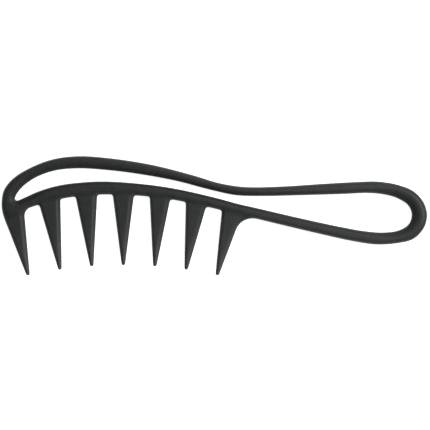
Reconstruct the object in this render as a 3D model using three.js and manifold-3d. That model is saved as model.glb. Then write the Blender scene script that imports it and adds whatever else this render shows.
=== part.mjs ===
// A wide tooth comb: one slim moulded loop that is a toothed spine with a back rail over it at
// one end, and an open finger handle at the other. Millimetres, +Z up, lying flat on its face.
// +X runs along the comb to the handle, -Y is the side the teeth point to.
import * as THREE from 'three';
import * as BufferGeometryUtils from 'three/addons/utils/BufferGeometryUtils.js';
import Module from 'manifold-3d';

// ---- Driving dimensions -------------------------------------------------------------------
const THICKNESS = 6;            // of the spine, the rail and the handle
const EDGE_ROUNDING = 2.2;      // how far the rounded edge reaches in over the face, at most
const EDGE_SHARE = 0.8;         // and at most this share of a bar's half width
const EDGE_STEPS = 3;           // facets from the face to the middle of the edge
const CURVE_STEPS = 4;          // facets between two points of an edge curve
const EDGE_SAMPLE = 0.6;        // spacing of the points that a bar's width is measured at

const TEETH = 7;
const MIDDLE_TOOTH = 4;         // the upright one, and the shortest
const TOOTH_PITCH = 14.88;      // from tip to tip
const PITCH_BOW = -0.038;       // tips spread a little less towards the handle
const MIDDLE_TIP = { x: -42.85, y: -22.4 };
const TIP_DROP = 0.53;          // tips lie on an arch: each lower by this times its place squared
const TOOTH_LEAN = 4.4;         // degrees from one tooth to the next, so the teeth close inwards
const TOOTH_FLARES = [8.1, 7.7, 7.45, 7.3, 7.25, 7.6, 7.6]; // degrees from the axis to a side
const TIP_RADIUS = 0.76;
const TIP_THICKNESS = 1.9;
const ROOT_THICKNESS = 4.4;     // the teeth start a step below the spine's faces
const TOOTH_EDGE = 1.7;         // rounding of a tooth's edges, where the tooth is wide enough
const TOOTH_STEPS = 8;          // lengths of a tooth between its root and its tip
const TIP_TURNS = [80, 60, 38, 18]; // degrees round the tip that its facets meet at
const ROOT_FILLET = 1.3;
const NOSE_FILLET = 4.5;        // between the first tooth and the spine
const HANDLE_FILLET = 8.5;      // between the last tooth and the handle
const FILLET_STEPS = 4;
const BIG_FILLET_STEPS = 7;
const STUB = 5;                 // what the spine's outline keeps of a tooth before it is cut off

// The outer edge, from the first tooth over the nose, the back and the bow to the last tooth.
const OUTER_EDGE = [
  [-98.0, -3.3], [-99.55, 1.4], [-100, 5.9], [-98.9, 12], [-94.4, 17.6], [-86, 22.7],
  [-76, 26.4], [-64, 27.9], [-50, 27.0], [-30, 23.95], [-10, 18.9], [2, 15.3],
  [14, 13.45], [30, 13.58], [50, 14.83], [68, 15.82], [77, 15.95], [86, 14.5],
  [93.5, 11.5], [98.2, 6.5], [100, 0.2], [98.4, -5.9], [93.5, -10.9], [86, -12.8],
  [76.5, -13.4], [65, -11.8], [45, -7.35], [24, -2.35],
];

// The edge of the long opening, from its sharp end at the nose back along the rail.
const SLOT_EDGE = [
  [-93.95, 7.8], [-93.0, 7.0], [-89.5, 8.3], [-82, 11.6], [-73, 14.15], [-64, 15.4],
  [-53, 16.0], [-38, 15.2], [-20, 12.87], [0, 8.45], [11, 5.5], [20, 3.45], [40, -1.19],
  [60, -5.5], [71, -7.4], [79.5, -8.0], [87, -6.95], [91.5, -4.1], [93, 0.4],
  [91.3, 4.9], [86, 8.4], [80, 10.1], [73, 10.8], [60, 10.33], [40, 9.74],
  [22, 9.38], [10, 9.8], [-2, 12.35], [-18, 16.5], [-35, 19.65], [-50, 21.55],
  [-64, 22.4], [-75, 21.35], [-84.5, 17.9], [-91, 13.05], [-93.6, 9.4],
];

// The spine's lower edge, where the gaps between the teeth end, and its run on through the nose.
const ROOT_EDGE = [
  [-110, -8], [-89.8, 3.0], [-84, 4.95], [-68.2, 8.8], [-51.4, 10.1], [-34.1, 9.4], [-17, 7.2],
  [0, 3.45], [12, 0.55], [24, -2.35],
];

// Where the moulding is parted into its named lengths.
const NOSE_END = -86;
const HANDLE_START = 18;
const BOW_START = 80;
const REACH = 120;              // past everything
const TOOTH_REACH = 40;         // past a tooth's tip
const SEAM_MARGIN = 1;          // how far a tooth's parting block runs past its two sides
const SLOT_MIDDLE = [[NOSE_END, 13.3], [-50, 18.7], [0, 10.2], [HANDLE_START, 6.4]];
const LOOP_MIDDLE = [BOW_START, 1];

// ---- Plan geometry ------------------------------------------------------------------------
function curveThrough(points, closed = false) {
  const knots = points.map(([x, y]) => new THREE.Vector3(x, y, 0));
  const curve = new THREE.CatmullRomCurve3(knots, closed, 'centripetal');
  const spans = closed ? knots.length : knots.length - 1;
  const samples = curve.getPoints(spans * CURVE_STEPS);
  if (closed) samples.pop();
  return samples.map((p) => new THREE.Vector2(p.x, p.y));
}

function heightOn(line, x) {
  const next = line.findIndex((p) => p.x >= x);
  const [a, b] = [line[next - 1], line[next]];
  return a.y + ((b.y - a.y) * (x - a.x)) / (b.x - a.x);
}

// Where the ray from `start` along `direction` meets a line that runs from left to right, found
// by stepping along the ray to the line's height, again and again.
const MEETING_ROUNDS = 20;
function meeting(start, direction, line) {
  const point = start.clone();
  for (let i = 0; i < MEETING_ROUNDS; i += 1) {
    const rise = (heightOn(line, point.x) - start.y) / direction.y;
    point.copy(start).addScaledVector(direction, rise);
  }
  return point;
}

// The arc that rounds the corner between two straight stretches.
function fillet(before, corner, after, radius, steps) {
  const back = before.clone().sub(corner).normalize();
  const ahead = after.clone().sub(corner).normalize();
  const halfAngle = Math.acos(THREE.MathUtils.clamp(back.dot(ahead), -1, 1)) / 2;
  const middle = back.clone().add(ahead).normalize();
  const centre = corner.clone().addScaledVector(middle, radius / Math.sin(halfAngle));
  const from = corner.clone().addScaledVector(back, radius / Math.tan(halfAngle)).sub(centre);
  const to = corner.clone().addScaledVector(ahead, radius / Math.tan(halfAngle)).sub(centre);
  const turn = Math.atan2(from.cross(to), from.dot(to));
  const arc = [];
  for (let i = 0; i <= steps; i += 1) {
    arc.push(from.clone().rotateAround(new THREE.Vector2(), (turn * i) / steps).add(centre));
  }
  return arc;
}

// ---- Solids -------------------------------------------------------------------------------
const wasm = await Module();
wasm.setup();

function solidOf(geometry) {
  const bare = geometry.index ? geometry : BufferGeometryUtils.mergeVertices(geometry);
  bare.deleteAttribute('normal');
  bare.deleteAttribute('uv');
  const merged = BufferGeometryUtils.mergeVertices(bare);
  return new wasm.Manifold(new wasm.Mesh({
    numProp: 3,
    vertProperties: new Float32Array(merged.attributes.position.array),
    triVerts: new Uint32Array(merged.index.array),
  }));
}

function geometryOf(solid) {
  const { vertProperties, triVerts } = solid.getMesh();
  const geometry = new THREE.BufferGeometry();
  geometry.setAttribute('position', new THREE.BufferAttribute(vertProperties, 3));
  geometry.setIndex(new THREE.BufferAttribute(triVerts, 1));
  geometry.computeVertexNormals();
  return geometry;
}

function indexedGeometry(positions, triangles) {
  const geometry = new THREE.BufferGeometry();
  geometry.setAttribute('position', new THREE.Float32BufferAttribute(positions, 3));
  geometry.setIndex(triangles);
  return geometry;
}

// A tall block with the given plan, used to part the moulding.
function block(plan) {
  const shape = new THREE.Shape(plan.map(([x, y]) => new THREE.Vector2(x, y)));
  const geometry = new THREE.ExtrudeGeometry(shape, { depth: 4 * THICKNESS, bevelEnabled: false });
  geometry.translate(0, 0, -2 * THICKNESS);
  return solidOf(geometry);
}

// Quarter turns from the lower face, round the edge, to the upper face.
function edgeAngles() {
  const angles = [];
  for (let k = -EDGE_STEPS; k <= EDGE_STEPS; k += 1) angles.push((k / EDGE_STEPS) * (Math.PI / 2));
  return angles;
}

// The inward normal of each point of a closed line that keeps the material on its left.
function inwardNormals(line) {
  return line.map((point, i) => {
    const before = line[(i + line.length - 1) % line.length];
    const after = line[(i + 1) % line.length];
    const a = point.clone().sub(before).normalize();
    const b = after.clone().sub(point).normalize();
    const along = a.add(b).normalize();
    return new THREE.Vector2(-along.y, along.x);
  });
}

// The same closed line with points no further apart than EDGE_SAMPLE.
function finely(line) {
  return line.flatMap((point, i) => {
    const next = line[(i + 1) % line.length];
    const count = Math.ceil(point.distanceTo(next) / EDGE_SAMPLE);
    return Array.from({ length: count }, (_, k) => point.clone().lerp(next, k / count));
  });
}

// Half the width of the bar at a point: the largest circle inside it that touches the edge there.
function halfWidth(point, normal, edgePoints) {
  let radius = Infinity;
  for (const other of edgePoints) {
    const offset = other.clone().sub(point);
    const depth = offset.dot(normal);
    if (depth > 1e-6) radius = Math.min(radius, offset.lengthSq() / (2 * depth));
  }
  return radius;
}

// A flat plate with elliptical edges. The first line is its outline, the others its openings.
function roundedPlate(lines, thickness) {
  const edgePoints = lines.flatMap(finely);
  const positions = [];
  const triangles = [];
  const angles = edgeAngles();
  const faceLines = [];
  for (const line of lines) {
    const normals = inwardNormals(line);
    const depths = line.map((point, i) => Math.min(
      EDGE_ROUNDING,
      EDGE_SHARE * halfWidth(point, normals[i], edgePoints),
    ));
    const first = positions.length / 3;
    for (const angle of angles) {
      line.forEach((point, i) => {
        const inset = depths[i] * (1 - Math.cos(angle));
        const p = point.clone().addScaledVector(normals[i], inset);
        positions.push(p.x, p.y, (thickness / 2) * Math.sin(angle));
      });
    }
    const count = line.length;
    for (let k = 0; k < angles.length - 1; k += 1) {
      for (let i = 0; i < count; i += 1) {
        const a = first + k * count + i;
        const b = first + k * count + ((i + 1) % count);
        triangles.push(a, b, b + count, a, b + count, a + count);
      }
    }
    faceLines.push({
      plan: line.map((p, i) => p.clone().addScaledVector(normals[i], depths[i])),
      lower: line.map((p, i) => first + i),
      upper: line.map((p, i) => first + (angles.length - 1) * count + i),
    });
  }
  const [outline, ...openings] = faceLines.map((face) => face.plan);
  const lower = faceLines.flatMap((face) => face.lower);
  const upper = faceLines.flatMap((face) => face.upper);
  for (const [a, b, c] of THREE.ShapeUtils.triangulateShape(outline, openings)) {
    triangles.push(upper[a], upper[b], upper[c]);
    triangles.push(lower[a], lower[c], lower[b]);
  }
  return solidOf(indexedGeometry(positions, triangles));
}

// A tapering bar through stations, each with a centre, a half width and a half thickness.
function taperedBar(stations, across) {
  const angles = edgeAngles();
  const positions = [];
  const triangles = [];
  for (const { centre, wide, thick } of stations) {
    const rounding = Math.min(TOOTH_EDGE, EDGE_SHARE * wide);
    for (const side of [1, -1]) {
      for (const angle of angles) {
        const reach = side * (wide - rounding * (1 - Math.cos(angle)));
        const p = centre.clone().addScaledVector(across, reach);
        positions.push(p.x, p.y, side * thick * Math.sin(angle));
      }
    }
  }
  const count = 2 * angles.length;
  for (let k = 0; k < stations.length - 1; k += 1) {
    for (let i = 0; i < count; i += 1) {
      const a = k * count + i;
      const b = k * count + ((i + 1) % count);
      triangles.push(a, b + count, b, a, a + count, b + count);
    }
  }
  const last = (stations.length - 1) * count;
  for (let i = 1; i < count - 1; i += 1) {
    triangles.push(0, i, i + 1);
    triangles.push(last, last + i + 1, last + i);
  }
  return solidOf(indexedGeometry(positions, triangles));
}

// ---- The teeth ----------------------------------------------------------------------------
const rootLine = curveThrough(ROOT_EDGE);
const upright = new THREE.Vector2(0, 1);
const origin = new THREE.Vector2();

function toothPlan(number) {
  const place = number - MIDDLE_TOOTH;
  const lean = THREE.MathUtils.degToRad(-TOOTH_LEAN * place);
  const flare = THREE.MathUtils.degToRad(TOOTH_FLARES[number - 1]);
  const tip = new THREE.Vector2(
    MIDDLE_TIP.x + TOOTH_PITCH * place + PITCH_BOW * place ** 2,
    MIDDLE_TIP.y - TIP_DROP * place ** 2,
  );
  const axis = upright.clone().rotateAround(origin, lean);
  const across = new THREE.Vector2(axis.y, -axis.x);
  const leftRay = axis.clone().rotateAround(origin, flare);
  const rightRay = axis.clone().rotateAround(origin, -flare);
  const halfTip = TIP_RADIUS / Math.cos(flare);
  const leftStart = tip.clone().addScaledVector(across, -halfTip);
  const rightStart = tip.clone().addScaledVector(across, halfTip);
  return {
    tip,
    axis,
    across,
    flare,
    leftRay,
    rightRay,
    leftCorner: meeting(leftStart, leftRay, rootLine),
    rightCorner: meeting(rightStart, rightRay, rootLine),
  };
}

const teeth = Array.from({ length: TEETH }, (_, i) => toothPlan(i + 1));

// The fillets at a tooth's two root corners end at its feet, and the tooth is parted there.
teeth.forEach((tooth, i) => {
  const toLeft = i > 0 ? teeth[i - 1].rightCorner : null;
  const toRight = i < TEETH - 1 ? teeth[i + 1].leftCorner : rootLine.at(-1);
  const leftEnd = tooth.leftCorner.clone().addScaledVector(tooth.leftRay, -STUB * 2);
  const rightEnd = tooth.rightCorner.clone().addScaledVector(tooth.rightRay, -STUB * 2);
  if (toLeft) {
    tooth.leftArc = fillet(toLeft, tooth.leftCorner, leftEnd, ROOT_FILLET, FILLET_STEPS);
    tooth.leftFoot = tooth.leftArc.at(-1);
  } else {
    tooth.leftArc = [];
    tooth.leftFoot = new THREE.Vector2(...OUTER_EDGE[0]);
  }
  const radius = i === 0 ? NOSE_FILLET : i === TEETH - 1 ? HANDLE_FILLET : ROOT_FILLET;
  const steps = radius === ROOT_FILLET ? FILLET_STEPS : BIG_FILLET_STEPS;
  tooth.rightArc = fillet(rightEnd, tooth.rightCorner, toRight, radius, steps);
  tooth.rightFoot = tooth.rightArc[0];
  tooth.leftStub = tooth.leftFoot.clone().addScaledVector(tooth.leftRay, -STUB);
  tooth.rightStub = tooth.rightFoot.clone().addScaledVector(tooth.rightRay, -STUB);
});

// The plan of what lies on a tooth's own side of its parting line.
function toothSide(tooth) {
  const seam = tooth.rightFoot.clone().sub(tooth.leftFoot).normalize();
  const left = tooth.leftFoot.clone().addScaledVector(seam, -SEAM_MARGIN);
  const right = tooth.rightFoot.clone().addScaledVector(seam, SEAM_MARGIN);
  const down = tooth.axis.clone().multiplyScalar(-TOOTH_REACH);
  return [left, left.clone().add(down), right.clone().add(down), right].map((p) => [p.x, p.y]);
}

function toothSolid(tooth) {
  const { tip, axis, across, flare, leftFoot, rightFoot } = tooth;
  const feet = [leftFoot, rightFoot].map((foot) => foot.clone().sub(tip).dot(axis));
  const rootHeight = Math.min(...feet);
  const top = Math.max(...feet) + 1;
  const stations = [];
  const addStation = (height, wide, thick) => {
    stations.push({ centre: tip.clone().addScaledVector(axis, height), wide, thick });
  };
  const thickAt = (height) => {
    const share = THREE.MathUtils.clamp(height / rootHeight, 0, 1);
    return THREE.MathUtils.lerp(TIP_THICKNESS, ROOT_THICKNESS, share) / 2;
  };
  for (const degrees of TIP_TURNS) {
    const turn = THREE.MathUtils.degToRad(degrees);
    const wide = TIP_RADIUS * Math.cos(turn);
    addStation(-TIP_RADIUS * Math.sin(turn), wide, thickAt(0) * Math.cos(turn));
  }
  for (let i = 0; i <= TOOTH_STEPS; i += 1) {
    const height = (rootHeight * i) / TOOTH_STEPS;
    addStation(height, TIP_RADIUS / Math.cos(flare) + height * Math.tan(flare), thickAt(height));
  }
  addStation(top, TIP_RADIUS / Math.cos(flare) + top * Math.tan(flare), thickAt(top));
  return taperedBar(stations, across).intersect(block(toothSide(tooth)));
}

// ---- The moulding without its teeth -------------------------------------------------------
function mouldingOutline() {
  const outline = [];
  teeth.forEach((tooth, i) => {
    outline.push(...tooth.leftArc);
    if (i === 0) outline.push(tooth.leftFoot);
    outline.push(tooth.leftStub, tooth.rightStub, ...tooth.rightArc);
  });
  const overTheBack = curveThrough(OUTER_EDGE).reverse();
  overTheBack.pop();
  return [...outline, ...overTheBack];
}

function mouldingSolid() {
  const slot = curveThrough(SLOT_EDGE, true).reverse();
  let solid = roundedPlate([mouldingOutline(), slot], THICKNESS);
  for (const tooth of teeth) solid = solid.subtract(block(toothSide(tooth)));
  return solid;
}

const moulding = mouldingSolid();
const handleSlotMiddle = SLOT_MIDDLE.at(-1);

const lengths = {
  nose: [[-REACH, -REACH], [NOSE_END, -REACH], [NOSE_END, REACH], [-REACH, REACH]],
  back_rail: [...SLOT_MIDDLE, [HANDLE_START, REACH], [NOSE_END, REACH]],
  spine: [[NOSE_END, -REACH], [HANDLE_START, -REACH], ...[...SLOT_MIDDLE].reverse()],
  handle_upper_limb: [handleSlotMiddle, LOOP_MIDDLE, [BOW_START, REACH], [HANDLE_START, REACH]],
  handle_lower_limb: [[HANDLE_START, -REACH], [BOW_START, -REACH], LOOP_MIDDLE, handleSlotMiddle],
  handle_bow: [[BOW_START, -REACH], [REACH, -REACH], [REACH, REACH], [BOW_START, REACH]],
};

// ---- The comb -----------------------------------------------------------------------------
const plastic = { color: 0x2b2c2c, roughness: 0.42, metalness: 0 };
const comb = new THREE.Group();

function addPiece(name, solid) {
  const mesh = new THREE.Mesh(geometryOf(solid), new THREE.MeshStandardMaterial(plastic));
  mesh.name = name;
  comb.add(mesh);
}

for (const [name, plan] of Object.entries(lengths)) {
  addPiece(name, moulding.intersect(block(plan)));
}
teeth.forEach((tooth, i) => addPiece(`tooth_${i + 1}`, toothSolid(tooth)));

// The origin is under the middle of the comb, on the face that it lies on.
const box = new THREE.Box3().setFromObject(comb);
const middle = box.getCenter(new THREE.Vector3());
for (const piece of comb.children) {
  piece.geometry.translate(-middle.x, -middle.y, -box.min.z);
}

export default comb;
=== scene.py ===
"""The looks of a one-piece wide tooth comb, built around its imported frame.

The comb is one moulding. Its edge line is read from the frame's mid-plane, smoothed, and given
round edges, tapering teeth and a fine parting line. The surface is then parted on the frame's own
planes, so that each named length of the comb is a closed piece and the joins between them don't
show. Lengths are millimetres until a mesh is made.
"""

import math

import bmesh
import bpy
import numpy as np
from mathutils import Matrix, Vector, geometry


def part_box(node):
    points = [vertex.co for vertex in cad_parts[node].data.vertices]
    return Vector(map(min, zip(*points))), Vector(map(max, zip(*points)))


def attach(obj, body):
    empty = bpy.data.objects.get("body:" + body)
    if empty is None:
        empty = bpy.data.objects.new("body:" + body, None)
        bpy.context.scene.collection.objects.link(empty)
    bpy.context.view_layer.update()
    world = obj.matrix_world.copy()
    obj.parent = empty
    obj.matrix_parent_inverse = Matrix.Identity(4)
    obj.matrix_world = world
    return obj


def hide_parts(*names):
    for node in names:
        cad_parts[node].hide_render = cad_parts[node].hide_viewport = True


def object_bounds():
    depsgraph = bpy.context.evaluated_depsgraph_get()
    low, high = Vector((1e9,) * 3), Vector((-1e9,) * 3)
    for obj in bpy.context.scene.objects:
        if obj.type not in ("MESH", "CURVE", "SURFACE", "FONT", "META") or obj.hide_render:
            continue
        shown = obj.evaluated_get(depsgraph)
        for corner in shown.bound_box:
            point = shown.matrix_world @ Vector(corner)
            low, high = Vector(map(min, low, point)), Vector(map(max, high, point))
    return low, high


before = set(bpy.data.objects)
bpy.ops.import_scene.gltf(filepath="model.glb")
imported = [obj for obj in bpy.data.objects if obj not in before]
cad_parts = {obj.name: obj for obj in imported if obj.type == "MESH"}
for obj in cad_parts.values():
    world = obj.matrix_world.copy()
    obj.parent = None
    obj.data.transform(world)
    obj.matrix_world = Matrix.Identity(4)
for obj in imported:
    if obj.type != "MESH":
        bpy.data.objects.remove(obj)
cad_low, cad_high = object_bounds()

MM = 0.001                  # metres in a millimetre
TEETH = sorted(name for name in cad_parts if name.startswith("tooth_"))

# Reading the frame's edge line.
WELD_PER_MM = 1e4           # corners that agree to this grid are one
LEVEL = 0.01                # how far off the mid-plane an edge point may be
LEAST_SLOPE = 0.01          # of the faces that meet at the edge line
LEAST_SEGMENT = 0.03        # shorter pieces of the edge line are skipped
LEAST_DEPTH = 1e-4          # of a point that may bound the largest circle inside
UPRIGHT = 1e-3              # largest upward share of an upright face's normal
ON_SEAM = 0.01              # how far off a tooth's parting plane its corners may be
TIP_DEPTH = 0.02            # points this close to the far end of a tooth are its tip

# The round of the edges, as a share of a bar's half width up to a limit. The bars fall away
# broadly to the long opening, and more tightly to the outside.
SHARE_INNER = 1.25
SHARE_OUTER = 0.65
SHARE_TOOTH = 0.9
SHARE_MOST = 1.02           # of what the width allows, after the round's width is evened out
EDGE_LIMIT_ROUND = 4.0      # past any half width, so that the nose, rail and bow are round
EDGE_LIMIT_FLAT = 2.0       # on the spine and the handle's limbs
EDGE_LIMIT_TOOTH = 1.0      # on the sides of the teeth towards the nose
EDGE_LIMIT_FIRST = 2.0      # on the other side of the first tooth
EDGE_LIMIT_LAST = 1.7       # and of the last, with the other teeth's in between
EDGE_LIMIT_NOSE = 2.4       # round the long opening's end in the nose
# Where the round changes: how far from a parting plane it starts to, and over what length.
SPINE_FLATTENS = (-2, 8)
LIMBS_FLATTEN = (-8, 12)
BOW_ROUNDS = (-8, 12)
NOSE_BAND_ENDS = (-8, 20)
BEVEL = 0.45                # how far rounded edges flatten towards a bevel
EDGE_EVENING = 0.5          # length that the round's width is evened out over
EDGE_RINGS = 9              # rings of the surface from the mid-plane to the face
CROWN = 0.035               # share of the half thickness that a face falls towards its edges
PARTING_RIDGE = 0.04        # height of the line where the two mould halves meet
PARTING_HALF_WIDTH = 0.1
SWELL = 0.1                 # how far the smooth edge stands outside the frame's facets

# The teeth.
TIP_MIDDLE = 0.9            # a tip's thickness is read this far up the tooth
TIP_REACH = 0.5             # and this far to either side of that
SEAM_SIDE = 1               # how far a tooth's own region runs past its sides
SEAM_REACH = 6              # and past its parting plane
ROOT_START = 0.7            # a tooth's face starts to climb to the spine's this far past its root
ROOT_RISE = 2.2             # and climbs over this length
TOOTH_BLEND = 2.5           # how far that climb fades out beside a tooth
HANDLE_BLEND = 7.5          # and on the handle's side of the last one

# Spacing of the points of the edge line: fine round tight curves, wider on straight stretches.
SPACING_TIGHT = 0.2
SPACING_WIDE = 0.75
SPACING_PER_RADIUS = 0.07
SPACING_LEAST = 0.12
SPACING_EVENING = 0.8       # length that the spacing is evened out over
BEND_WINDOW = 9             # points that a curve's radius is measured over
FACE_SPACING = 1.0          # of the points inside the faces
FACE_MARGIN = 0.45          # share of that spacing kept clear beside the rings
CUT_REACH = 2               # how far the faces that a plane cuts may be from it

mid = (cad_low.z + cad_high.z) / 2 / MM
half_body = (cad_high.z - cad_low.z) / 2 / MM
nose_end, spine_end = (corner.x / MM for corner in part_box("spine"))
bow_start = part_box("handle_bow")[0].x / MM


# ---- The frame's edge line ------------------------------------------------------------------
def welded(name):
    """A CAD node's points in millimetres and its triangles, with shared corners merged."""
    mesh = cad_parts[name].data
    points = np.empty(len(mesh.vertices) * 3, np.float32)
    mesh.vertices.foreach_get("co", points)
    points = points.reshape(-1, 3).astype(float) / MM
    keys = np.round(points * WELD_PER_MM).astype(np.int64)
    _, first, which = np.unique(keys, axis=0, return_index=True, return_inverse=True)
    which = which.ravel()
    triangles = np.array([[which[i] for i in face.vertices] for face in mesh.polygons])
    return points[first], triangles


def face_normals(points, triangles):
    """The triangles' normals and areas."""
    a, b, c = (points[triangles[:, k]] for k in range(3))
    normals = np.cross(b - a, c - a)
    size = np.linalg.norm(normals, axis=1, keepdims=True)
    return normals / np.maximum(size, 1e-12), size[:, 0] / 2


def edge_segments(name):
    """The stretches of a node's silhouette: mid-plane edges between an upper and a lower face."""
    points, triangles = welded(name)
    normals, _ = face_normals(points, triangles)
    faces_of = {}
    for face, corners in enumerate(triangles):
        for a, b in zip(corners, np.roll(corners, -1)):
            faces_of.setdefault((min(a, b), max(a, b)), []).append(face)
    segments = []
    for (a, b), faces in faces_of.items():
        if max(abs(points[a, 2] - mid), abs(points[b, 2] - mid)) > LEVEL:
            continue
        rises = normals[faces, 2]
        if len(faces) == 2 and rises[0] * rises[1] < 0 and abs(rises).min() > LEAST_SLOPE:
            segments.append((points[a, :2], points[b, :2]))
    return segments


def mates(ends):
    """For each end of a segment the end it joins, the closest pairs first."""
    gaps = np.linalg.norm(ends[:, None] - ends[None], axis=2)
    for i in range(0, len(ends), 2):
        gaps[i:i + 2, i:i + 2] = np.inf
    mate = np.full(len(ends), -1)
    for pair in np.argsort(gaps, axis=None):
        a, b = divmod(int(pair), len(ends))
        if mate[a] < 0 and mate[b] < 0:
            mate[a], mate[b] = b, a
        if (mate >= 0).all():
            return mate


def chained(segments):
    """Closed lines made of segments that meet end to end, the longest first."""
    ends = np.array([p for segment in segments for p in segment])
    mate = mates(ends)
    unused = set(range(len(segments)))
    lines = []
    while unused:
        line = []
        end = 2 * min(unused)
        while end // 2 in unused:
            unused.discard(end // 2)
            line.append(ends[end])
            end = mate[end ^ 1]
        lines.append(np.array(line))
    return sorted(lines, key=len, reverse=True)


def edge_lines():
    """The comb's outline and its opening, each with the material on its left."""
    segments = [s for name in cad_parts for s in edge_segments(name)]
    segments = [s for s in segments if np.linalg.norm(s[0] - s[1]) > LEAST_SEGMENT]
    outline, slot = chained(segments)[:2]
    if signed_area(outline) < 0:
        outline = outline[::-1]
    if signed_area(slot) > 0:
        slot = slot[::-1]
    return outline, slot


def signed_area(line):
    """The area inside a closed line, negative where the line runs clockwise."""
    x, y = line.T
    return (x * np.roll(y, -1) - np.roll(x, -1) * y).sum() / 2


# ---- Smoothing ------------------------------------------------------------------------------
def smooth_closed(line, steps=16):
    """A smooth closed curve through a line's points (a centripetal Catmull-Rom spline)."""
    p0, p1, p2, p3 = (np.roll(line, k, axis=0) for k in (1, 0, -1, -2))
    t1, t2, t3 = (np.sqrt(np.linalg.norm(b - a, axis=1, keepdims=True))
                  for a, b in ((p0, p1), (p1, p2), (p2, p3)))
    leave = t2 * ((p1 - p0) / t1 - (p2 - p0) / (t1 + t2) + (p2 - p1) / t2)
    arrive = t2 * ((p2 - p1) / t2 - (p3 - p1) / (t2 + t3) + (p3 - p2) / t3)
    curve = []
    for t in np.arange(steps) / steps:
        curve.append((2 * t**3 - 3 * t**2 + 1) * p1 + (t**3 - 2 * t**2 + t) * leave
                     + (3 * t**2 - 2 * t**3) * p2 + (t**3 - t**2) * arrive)
    return np.stack(curve, axis=1).reshape(-1, 2)


def blurred(values, steps, width):
    """Values round a closed line, averaged over a length, with the length of each step given."""
    places = np.concatenate([[0], np.cumsum(steps)[:-1]])
    total = steps.sum()
    result = np.empty_like(values)
    for i, place in enumerate(places):
        apart = np.abs(places - place)
        apart = np.minimum(apart, total - apart)
        weight = np.exp(-0.5 * (apart / width)**2) * steps
        result[i] = (values * weight).sum() / weight.sum()
    return result


def respaced(curve):
    """The curve's points, close together where it is tight and further apart where straight."""
    ahead = np.roll(curve, -1, axis=0) - curve
    step = np.linalg.norm(ahead, axis=1)
    heading = np.unwrap(np.arctan2(ahead[:, 1], ahead[:, 0]))
    turn = np.abs(np.angle(np.exp(1j * (heading - np.roll(heading, 1)))))
    window, side = np.ones(BEND_WINDOW) / BEND_WINDOW, BEND_WINDOW // 2
    bend, reach = (np.convolve(np.r_[values[-side:], values, values[:side]], window, "valid")
                   for values in (turn, step))
    radius = reach / np.maximum(bend, 1e-6)
    spacing = np.clip(SPACING_PER_RADIUS * radius + SPACING_LEAST, SPACING_TIGHT, SPACING_WIDE)
    density = blurred(1 / spacing, step, SPACING_EVENING)
    progress = np.concatenate([[0], np.cumsum(density * step)])
    count = int(round(progress[-1]))
    wanted = np.arange(count) * progress[-1] / count
    closed = np.vstack([curve, curve[:1]])
    return np.column_stack([np.interp(wanted, progress, closed[:, k]) for k in (0, 1)])


class EdgeLine:
    """One closed edge of the comb, with its inward directions and the width of the bar there."""

    def __init__(self, corners, share):
        self.share = share
        self.points = respaced(smooth_closed(corners))
        along = np.roll(self.points, -1, axis=0) - np.roll(self.points, 1, axis=0)
        along /= np.linalg.norm(along, axis=1, keepdims=True)
        self.inward = np.column_stack([-along[:, 1], along[:, 0]])
        self.points = self.points - SWELL * self.inward
        self.steps = np.linalg.norm(np.roll(self.points, -1, axis=0) - self.points, axis=1)

    def measure(self, all_points):
        """Finds half the bar's width at each point, from the largest circle inside that touches
        there, and the width and squareness of the edge's round."""
        half = np.empty(len(self.points))
        for i, (point, normal) in enumerate(zip(self.points, self.inward)):
            apart = all_points - point
            depth = apart @ normal
            deep = depth > LEAST_DEPTH
            half[i] = ((apart[deep]**2).sum(1) / (2 * depth[deep])).min()
        self.half_width = half
        limit, on_tooth = edge_limit(self.points, self.inward)
        start, length = NOSE_BAND_ENDS
        in_nose = 1 - fade(self.points[:, 0], nose_end + start, length)
        in_nose *= self.share == SHARE_INNER
        limit = limit + (EDGE_LIMIT_NOSE - limit) * in_nose
        widest = half * (self.share + (SHARE_TOOTH - self.share) * on_tooth)
        even = blurred(np.minimum(widest, limit), self.steps, EDGE_EVENING)
        self.round = np.minimum(even, SHARE_MOST * widest)
        bevelled = np.maximum(on_tooth, in_nose)
        self.power = blurred(1 + BEVEL * bevelled, self.steps, EDGE_EVENING)


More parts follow.
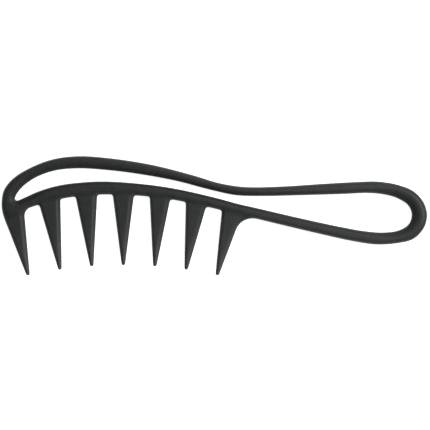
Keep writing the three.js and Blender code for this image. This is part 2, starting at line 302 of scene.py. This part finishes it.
# ---- The teeth ------------------------------------------------------------------------------
class Tooth:
    """A tooth's axis, its parting plane and its thickness along it, read from its CAD node."""

    def __init__(self, name):
        points, triangles = welded(name)
        normals, areas = face_normals(points, triangles)
        upright = np.flatnonzero(np.abs(normals[:, 2]) < UPRIGHT)
        seam_face = max(upright, key=lambda i: areas[i])
        self.name = name
        self.seam_normal = normals[seam_face, :2]
        seam = points[triangles[seam_face, 0], :2]
        on_seam = np.abs((points[:, :2] - seam) @ self.seam_normal) < ON_SEAM
        self.seam = (points[on_seam, :2].min(0) + points[on_seam, :2].max(0)) / 2
        self.half_root = np.linalg.norm(np.ptp(points[on_seam, :2], axis=0)) / 2
        far = (points[:, :2] - seam) @ self.seam_normal
        self.tip = points[far < far.min() + TIP_DEPTH, :2].mean(0)
        self.axis = self.seam - self.tip
        self.length = np.linalg.norm(self.axis)
        self.axis /= self.length
        self.across = np.array([self.axis[1], -self.axis[0]])
        self.root = self.length + self.half_root * abs(self.across @ self.seam_normal)
        self.half_thick = np.abs(points[on_seam, 2] - mid).max()
        along = (points[:, :2] - self.tip) @ self.axis
        near_tip = np.abs(along - TIP_MIDDLE) < TIP_REACH
        self.half_tip = np.abs(points[near_tip, 2] - mid).max()

    def place(self, plan):
        """How far points are along the tooth from its tip, and how far to the side."""
        offset = plan - self.tip
        return offset @ self.axis, offset @ self.across

    def near_seam(self, plan):
        """Which points are close enough to the tooth's parting plane to be cut by it."""
        along, side = self.place(plan)
        beside = np.abs(side) < self.half_root + SEAM_SIDE
        return beside & (np.abs(along - self.length) < SEAM_REACH)

    def owns(self, plan):
        """Which points of the comb's plan are on the tooth's side of its parting plane."""
        along, side = self.place(plan)
        beyond = (plan - self.seam) @ self.seam_normal < 0
        beside = np.abs(side) < self.half_root + SEAM_SIDE
        return beyond & beside & (along < self.length + SEAM_REACH)


teeth = [Tooth(name) for name in TEETH]


def fade(value, start, length):
    """0 up to the start, easing to 1 over a length."""
    t = np.clip((value - start) / length, 0, 1)
    return t * t * (3 - 2 * t)


def near_tooth(tooth, plan):
    """1 on a tooth, falling to 0 beside it."""
    _, side = tooth.place(plan)
    to_handle = (side > 0) & (tooth.name == TEETH[-1])
    blend = np.where(to_handle, HANDLE_BLEND, TOOTH_BLEND)
    return 1 - fade(np.abs(side), tooth.half_root, blend)


def half_thickness(plan):
    """Half the comb's thickness at points of its plan, before its edges are rounded."""
    half = np.full(len(plan), half_body)
    for tooth in teeth:
        along, _ = tooth.place(plan)
        share = np.clip(along / tooth.length, 0, 1)
        on_tooth = tooth.half_tip + (tooth.half_thick - tooth.half_tip) * share
        climb = fade(along, tooth.root + ROOT_START, ROOT_RISE)
        wanted = on_tooth + (half_body - on_tooth) * climb
        half -= (half_body - wanted) * near_tooth(tooth, plan)
    return half


def edge_limit(plan, inward):
    """How wide the edge's round may be at points of it, and how far they are on a tooth."""
    x = plan[:, 0]
    on_spine, on_limb, on_bow = (
        fade(x, place + start, length) for place, (start, length) in
        ((nose_end, SPINE_FLATTENS), (spine_end, LIMBS_FLATTEN), (bow_start, BOW_ROUNDS)))
    flat = np.where(below_slot(plan), on_spine, on_limb) * (1 - on_bow)
    limit = EDGE_LIMIT_ROUND + (EDGE_LIMIT_FLAT - EDGE_LIMIT_ROUND) * flat
    on_tooth = np.zeros(len(plan))
    for tooth in teeth:
        along, _ = tooth.place(plan)
        on = near_tooth(tooth, plan) * (1 - fade(along, tooth.length, ROOT_RISE))
        on_tooth = np.maximum(on_tooth, on)
    to_nose = fade(inward[:, 0], -0.5, 1)
    first, last = teeth[0].tip[0], teeth[-1].tip[0]
    back = np.interp(x, (first, last), (EDGE_LIMIT_FIRST, EDGE_LIMIT_LAST))
    tooth_limit = back + (EDGE_LIMIT_TOOTH - back) * to_nose
    return limit + (tooth_limit - limit) * on_tooth, on_tooth


def slot_middle(slot_points):
    """The height of the middle of the long opening, as a function of the place along it."""
    left, right = slot_points[:, 0].argmin(), slot_points[:, 0].argmax()
    rolled = np.roll(slot_points, -left, axis=0)
    turn = (right - left) % len(slot_points)
    one, other = rolled[:turn + 1], np.vstack([rolled[turn:], rolled[:1]])[::-1]
    places = np.linspace(slot_points[left, 0], slot_points[right, 0], 400)
    heights = [np.interp(places, branch[:, 0], branch[:, 1]) for branch in (one, other)]
    return places, (heights[0] + heights[1]) / 2


outline_corners, slot_corners = edge_lines()
middle_places, middle_heights = slot_middle(smooth_closed(slot_corners))


def below_slot(plan):
    """Which points of the plan are on the teeth's side of the long opening."""
    return plan[:, 1] < np.interp(plan[:, 0], middle_places, middle_heights)


lines = [EdgeLine(outline_corners, SHARE_OUTER), EdgeLine(slot_corners, SHARE_INNER)]
all_points = np.vstack([line.points for line in lines])
for line in lines:
    line.measure(all_points)
all_half = np.concatenate([line.half_width for line in lines])
all_round = np.concatenate([line.round for line in lines])


# ---- The surface ----------------------------------------------------------------------------
def inside_loops(plan, loops):
    """Which points of the plan lie inside the first closed line and outside the others."""
    inside = np.zeros(len(plan), bool)
    for loop in loops:
        a, b = loop, np.roll(loop, -1, axis=0)
        for start in range(0, len(plan), 2000):
            x, y = plan[start:start + 2000].T
            spans = (a[:, 1][:, None] > y) != (b[:, 1][:, None] > y)
            rise = np.where(b[:, 1] == a[:, 1], 1, b[:, 1] - a[:, 1])
            at = a[:, 0][:, None] + (y - a[:, 1][:, None]) * ((b - a)[:, 0] / rise)[:, None]
            inside[start:start + 2000] ^= ((spans & (x < at)).sum(0) % 2).astype(bool)
    return inside


def nearest_edge(plan):
    """The nearest edge point to each point of the plan, and how far it is."""
    index = np.empty(len(plan), int)
    far = np.empty(len(plan))
    for start in range(0, len(plan), 500):
        part = plan[start:start + 500]
        apart = ((part[:, None] - all_points[None])**2).sum(2)
        index[start:start + 500] = apart.argmin(1)
        far[start:start + 500] = np.sqrt(apart.min(1))
    return index, far


def crown(depth, half_width):
    """A face's slight fall from the middle of a bar to its edges."""
    return 1 - CROWN * (1 - np.clip(depth / half_width, 0, 1))**2


def face_points(inner_loops):
    """An even spread of points inside the faces, clear of the rings that round the edges."""
    low, high = all_points.min(0), all_points.max(0)
    rows = np.arange(low[1], high[1], FACE_SPACING * math.sqrt(0.75))
    grid = np.array([(x + (row % 2) * FACE_SPACING / 2, y) for row, y in enumerate(rows)
                     for x in np.arange(low[0], high[0], FACE_SPACING)])
    index, far = nearest_edge(grid)
    clear = far > all_round[index] + FACE_MARGIN * FACE_SPACING
    grid, index, far = grid[clear], index[clear], far[clear]
    keep = inside_loops(grid, inner_loops)
    return grid[keep], far[keep], all_half[index[keep]]


def edge_rings(line):
    """The rings of points round an edge, from the parting ridge up to the face, as their plans
    and their heights over the mid-plane."""
    rings = []
    for depth, height in ((-PARTING_RIDGE, 0), (0, PARTING_HALF_WIDTH)):
        rings.append((line.points + line.inward * depth, np.full(len(line.points), height)))
    for ring in range(1, EDGE_RINGS + 1):
        angle = ring / EDGE_RINGS * math.pi / 2
        depth = line.round * (1 - max(math.cos(angle), 0)**line.power)
        plan = line.points + line.inward * depth[:, None]
        rise = math.sin(angle)**line.power
        rings.append((plan, half_thickness(plan) * rise * crown(depth, line.half_width)))
    return rings


def filled(flat, loops):
    """Triangles that fill the space inside the first loop and outside the others. The loops'
    points come first, in their order, in the flat list of points."""
    edges, start = [], 0
    for loop in loops:
        edges += [(start + i, start + (i + 1) % len(loop)) for i in range(len(loop))]
        start += len(loop)
    corners, _, triangles, origin = geometry.delaunay_2d_cdt(
        [Vector(p) for p in flat], edges, [], 0, 1e-7, True)[:4]
    if len(corners) != len(flat):
        raise ValueError(f"the edge rings cross: {len(corners)} points for {len(flat)}")
    triangles = np.array([[origin[i][0] for i in triangle] for triangle in triangles])
    return triangles[inside_loops(flat[triangles].mean(axis=1), loops)]


def surface():
    """The whole comb as points and faces, in millimetres."""
    points, faces = [], []
    upper_inner, lower_inner, inner_loops = [], [], []
    total = 0
    for line in lines:
        count = len(line.points)
        rings = edge_rings(line)
        stack = [(plan, -height) for plan, height in rings[:0:-1]] + rings
        first = total
        for plan, height in stack:
            points.append(np.column_stack([plan, mid + height]))
            total += count
        for level in range(len(stack) - 1):
            for i in range(count):
                a = first + level * count + i
                b = first + level * count + (i + 1) % count
                faces.append((a, b, b + count, a + count))
        lower_inner.append(np.arange(first, first + count))
        upper_inner.append(np.arange(total - count, total))
        inner_loops.append(rings[-1][0])
    plan, far, half_width = face_points(inner_loops)
    height = half_thickness(plan) * crown(far, half_width)
    points.append(np.column_stack([plan, mid + height]))
    points.append(np.column_stack([plan, mid - height]))
    upper = np.concatenate([*upper_inner, total + np.arange(len(plan))])
    lower = np.concatenate([*lower_inner, total + len(plan) + np.arange(len(plan))])
    triangles = filled(np.vstack([*inner_loops, plan]), inner_loops)
    faces += [tuple(upper[t]) for t in triangles]
    faces += [tuple(lower[t])[::-1] for t in triangles]
    return np.vstack(points), faces


# ---- Parting the surface into the comb's named lengths --------------------------------------
def cut(mesh, point, normal, near):
    """Cuts the faces whose middles pass the test along an upright plane."""
    mesh.faces.ensure_lookup_table()
    chosen = [mesh.faces[i] for i in np.flatnonzero(near(face_middles(mesh)))]
    shared = dict.fromkeys(e for f in chosen for e in (*f.edges, *f.verts))
    bmesh.ops.bisect_plane(mesh, geom=chosen + list(shared), dist=1e-5,
                           plane_co=(*point, mid), plane_no=(*normal, 0))


def face_middles(mesh):
    """The plans of the middles of a mesh's faces."""
    return np.array([face.calc_center_median().xy for face in mesh.faces])


def cut_all(mesh):
    """Cuts the comb along the planes where the frame's nodes meet."""
    for x in (nose_end, spine_end, bow_start):
        cut(mesh, (x, 0), (1, 0), lambda plan: np.abs(plan[:, 0] - x) < CUT_REACH)
    for tooth in teeth:
        cut(mesh, tooth.seam, tooth.seam_normal, tooth.near_seam)


def owners(plan):
    """The names of the comb's lengths that points of its surface belong to."""
    names = np.where(below_slot(plan), "handle_lower_limb", "handle_upper_limb").astype("U32")
    body = plan[:, 0] < spine_end
    names[body] = np.where(below_slot(plan[body]), "spine", "back_rail")
    names[plan[:, 0] < nose_end] = "nose"
    names[plan[:, 0] > bow_start] = "handle_bow"
    for tooth in teeth:
        names[tooth.owns(plan)] = tooth.name
    return names


def piece_mesh(name, faces, normals):
    """One closed piece: its share of the surface, and flat ends where it was parted."""
    mesh = bmesh.new()
    copies = {}
    source = []
    for face in faces:
        for vertex in face.verts:
            if vertex.index not in copies:
                copies[vertex.index] = mesh.verts.new(vertex.co * MM)
                source.append(vertex.index)
        mesh.faces.new([copies[v.index] for v in face.verts])
    outer = len(mesh.faces)
    rim = [e for e in mesh.edges if len(e.link_faces) == 1]
    ends = bmesh.ops.holes_fill(mesh, edges=rim, sides=0)["faces"]
    bmesh.ops.triangulate(mesh, faces=ends)
    mesh.faces.ensure_lookup_table()
    mesh.normal_update()
    mesh.verts.index_update()
    data = bpy.data.meshes.new(name)
    mesh.to_mesh(data)
    mesh.free()
    data.shade_smooth()
    split = np.empty((len(data.loops), 3))
    for face in data.polygons:
        for loop in face.loop_indices:
            if face.index < outer:
                split[loop] = normals[source[data.loops[loop].vertex_index]]
            else:
                split[loop] = face.normal
    data.normals_split_custom_set([tuple(n) for n in split])
    return data


def make_pieces():
    """The comb's named lengths, parted from one whole surface so that their shading runs on."""
    points, faces = surface()
    whole = bmesh.new()
    made = [whole.verts.new(p) for p in points]
    for face in faces:
        whole.faces.new([made[i] for i in face])
    whole.normal_update()
    cut_all(whole)
    bmesh.ops.triangulate(whole, faces=[f for f in whole.faces if len(f.verts) > 4])
    whole.normal_update()
    whole.verts.index_update()
    whole.verts.ensure_lookup_table()
    normals = {v.index: v.normal.copy() for v in whole.verts}
    shares = {}
    for face, name in zip(whole.faces, owners(face_middles(whole))):
        shares.setdefault(str(name), []).append(face)
    pieces = []
    for name in sorted(shares):
        data = piece_mesh(f"{name}_moulded", shares[name], normals)
        piece = bpy.data.objects.new(f"{name}_moulded", data)
        bpy.context.scene.collection.objects.link(piece)
        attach(piece, "root")
        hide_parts(name)
        pieces.append(piece)
    whole.free()
    return pieces


# ---- Black plastic --------------------------------------------------------------------------
GLOSS = 0.17                        # specular level
ROUGHNESS = (0.5, 0.6)
PALE_BLACK = (0.0203, 0.0224, 0.0223, 1)
DEEP_BLACK = (0.0163, 0.0181, 0.018, 1)
BOW_PAINTED_SHADE_BLACK = (0.009, 0.0099, 0.0098, 1)  # painted shade, darkening the end of the handle
TIP_WEAR_AND_HIGHLIGHT_BLACK = (0.033, 0.0356, 0.0355, 1)     # at the tips of the teeth, partly wear and partly painted highlight
TIP_LIGHTENING_START = 0.004                  # how far up the comb the lighter tone starts, in metres
TIP_LIGHTENING_FULL = 0.003                   # and how far over the lowest tip it is full
TIP_LIGHTENING_EDGE = 0.004                   # it fades out over this width beside the last tooth
GLOSS_NOISE = (110, 3)              # scale and detail
TONE_NOISE = (420, 2)
GRAIN_NOISE = (2600, 2)
GRAIN_STRENGTH = 0.35
GRAIN_HEIGHT = 0.00004


def noise(tree, place, scale, detail):
    node = tree.nodes.new("ShaderNodeTexNoise")
    node.inputs["Scale"].default_value = scale
    node.inputs["Detail"].default_value = detail
    tree.links.new(place, node.inputs["Vector"])
    return node.outputs["Fac"]


def mapped(tree, value, start, end, low=0, high=1):
    """A value's run from start to end as a run from low to high, and level past both ends."""
    node = tree.nodes.new("ShaderNodeMapRange")
    node.inputs["From Min"].default_value = start
    node.inputs["From Max"].default_value = end
    node.inputs["To Min"].default_value = low
    node.inputs["To Max"].default_value = high
    tree.links.new(value, node.inputs["Value"])
    return node.outputs["Result"]


def product(tree, one, other):
    node = tree.nodes.new("ShaderNodeMath")
    node.operation = "MULTIPLY"
    tree.links.new(one, node.inputs[0])
    tree.links.new(other, node.inputs[1])
    return node.outputs["Value"]


def colour_mix(tree, factor, one, other):
    """A mix from one colour, or the output of another mix, to a second colour."""
    node = tree.nodes.new("ShaderNodeMix")
    node.data_type = "RGBA"
    if isinstance(one, tuple):
        node.inputs["A"].default_value = one
    else:
        tree.links.new(one, node.inputs["A"])
    node.inputs["B"].default_value = other
    tree.links.new(factor, node.inputs["Factor"])
    return node.outputs["Result"]


def black_plastic():
    """Satin black plastic with the fine grain of a textured mould and slightly uneven gloss, with
    painted shade on the handle's end and teeth lighter towards their tips, partly as wear and
    partly as a painted highlight.
    """
    material = bpy.data.materials.new("black_plastic")
    material.use_nodes = True
    tree = material.node_tree
    shader = tree.nodes["Principled BSDF"]
    shader.inputs["Specular IOR Level"].default_value = GLOSS
    place = tree.nodes.new("ShaderNodeTexCoord").outputs["Object"]
    apart = tree.nodes.new("ShaderNodeSeparateXYZ")
    tree.links.new(place, apart.inputs["Vector"])
    x, y = apart.outputs["X"], apart.outputs["Y"]

    roughness = mapped(tree, noise(tree, place, *GLOSS_NOISE), 0.3, 0.7, *ROUGHNESS)
    tree.links.new(roughness, shader.inputs["Roughness"])

    patches = mapped(tree, noise(tree, place, *TONE_NOISE), 0.3, 0.7)
    tone = colour_mix(tree, patches, DEEP_BLACK, PALE_BLACK)
    # Painted shade: the bow is darkened towards the handle's end, standing in for less light
    # falling there.
    on_bow = mapped(tree, x, bow_start * MM, cad_high.x)
    tone = colour_mix(tree, on_bow, tone, BOW_PAINTED_SHADE_BLACK)
    # The teeth grow lighter towards their tips: partly wear, partly a painted highlight for the
    # light their narrow tips catch.
    to_tip = mapped(tree, y, TIP_LIGHTENING_START, cad_low.y + TIP_LIGHTENING_FULL)
    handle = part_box(TEETH[-1])[1].x
    on_teeth = mapped(tree, x, handle + TIP_LIGHTENING_EDGE, handle)
    tip_wear_and_highlight = product(tree, product(tree, to_tip, to_tip), on_teeth)
    tone = colour_mix(tree, tip_wear_and_highlight, tone, TIP_WEAR_AND_HIGHLIGHT_BLACK)
    tree.links.new(tone, shader.inputs["Base Color"])

    grain = tree.nodes.new("ShaderNodeBump")
    grain.inputs["Strength"].default_value = GRAIN_STRENGTH
    grain.inputs["Distance"].default_value = GRAIN_HEIGHT
    tree.links.new(noise(tree, place, *GRAIN_NOISE), grain.inputs["Height"])
    tree.links.new(grain.outputs["Normal"], shader.inputs["Normal"])
    return material


# ---- Stage ----------------------------------------------------------------------------------
FLOOR_SIDE = 6                      # metres from the middle to each side
FLOOR_TONE = (0.4, 0.4, 0.4, 1)
FLOOR_GLOW = 0.94                   # keeps the floor white right up to the comb
KEY = ((0.40, 0.09, 0.40), 0.24, 4.95)      # place, size and power
FILL = ((0.1, 0.4, 0.9), 0.6, 2.2)
WALL_TOP = (0.06, 0.2)              # heights that the white wall fades out between
WALL, ROOM = 1.0, 0.15              # brightness below and above
LENS = 200
SENSOR = 36
FRAME_PER_LENGTH = 1.0118
FRAME_OFFSET = (0.00027, 0.00034)   # of the camera from over the comb's middle, in metres


def area_light(name, place, size, power):
    """A round light that faces the origin."""
    data = bpy.data.lights.new(name, "AREA")
    data.shape = "DISK"
    data.size = size
    data.energy = power
    light = bpy.data.objects.new(name, data)
    light.location = place
    light.rotation_euler = (-Vector(place)).to_track_quat("-Z", "Y").to_euler()
    bpy.context.scene.collection.objects.link(light)


def make_stage():
    """A plain white floor, a soft key light from the handle's side, a fill light and the room."""
    side = FLOOR_SIDE
    data = bpy.data.meshes.new("floor")
    corners = [(-side, -side, 0), (side, -side, 0), (side, side, 0), (-side, side, 0)]
    data.from_pydata(corners, [], [(0, 1, 2, 3)])
    floor = bpy.data.objects.new("floor", data)
    floor.location.z = cad_low.z
    bpy.context.scene.collection.objects.link(floor)
    material = bpy.data.materials.new("white_floor")
    material.use_nodes = True
    inputs = material.node_tree.nodes["Principled BSDF"].inputs
    inputs["Base Color"].default_value = FLOOR_TONE
    inputs["Roughness"].default_value = 0.8
    inputs["Specular IOR Level"].default_value = 0.1
    inputs["Emission Color"].default_value = (1, 1, 1, 1)
    inputs["Emission Strength"].default_value = FLOOR_GLOW
    data.materials.append(material)
    make_sky()
    area_light("key", *KEY)
    area_light("fill", *FILL)


def make_sky():
    """A dim room overhead, with a white wall low down round the floor."""
    world = bpy.data.worlds.new("studio")
    bpy.context.scene.world = world
    world.use_nodes = True
    tree = world.node_tree
    direction = tree.nodes.new("ShaderNodeTexCoord").outputs["Generated"]
    height = tree.nodes.new("ShaderNodeSeparateXYZ")
    tree.links.new(direction, height.inputs["Vector"])
    strength = mapped(tree, height.outputs["Z"], *WALL_TOP, WALL, ROOM)
    strength.node.interpolation_type = "SMOOTHSTEP"
    background = tree.nodes["Background"].inputs
    tree.links.new(strength, background["Strength"])
    background["Color"].default_value = (1, 1, 1, 1)


def make_camera():
    """A long-lens camera straight over the comb, with the nose to the left."""
    data = bpy.data.cameras.new("camera")
    data.lens = LENS
    data.sensor_width = SENSOR
    camera = bpy.data.objects.new("camera", data)
    bpy.context.scene.collection.objects.link(camera)
    middle = (cad_low + cad_high) / 2
    far = FRAME_PER_LENGTH * (cad_high.x - cad_low.x) * LENS / SENSOR
    camera.location = middle + Vector((*FRAME_OFFSET, far))
    bpy.context.scene.camera = camera
    bpy.context.scene.view_settings.view_transform = "Standard"


pieces = make_pieces()
plastic = black_plastic()
for piece in pieces:
    piece.data.materials.append(plastic)
make_stage()
make_camera()
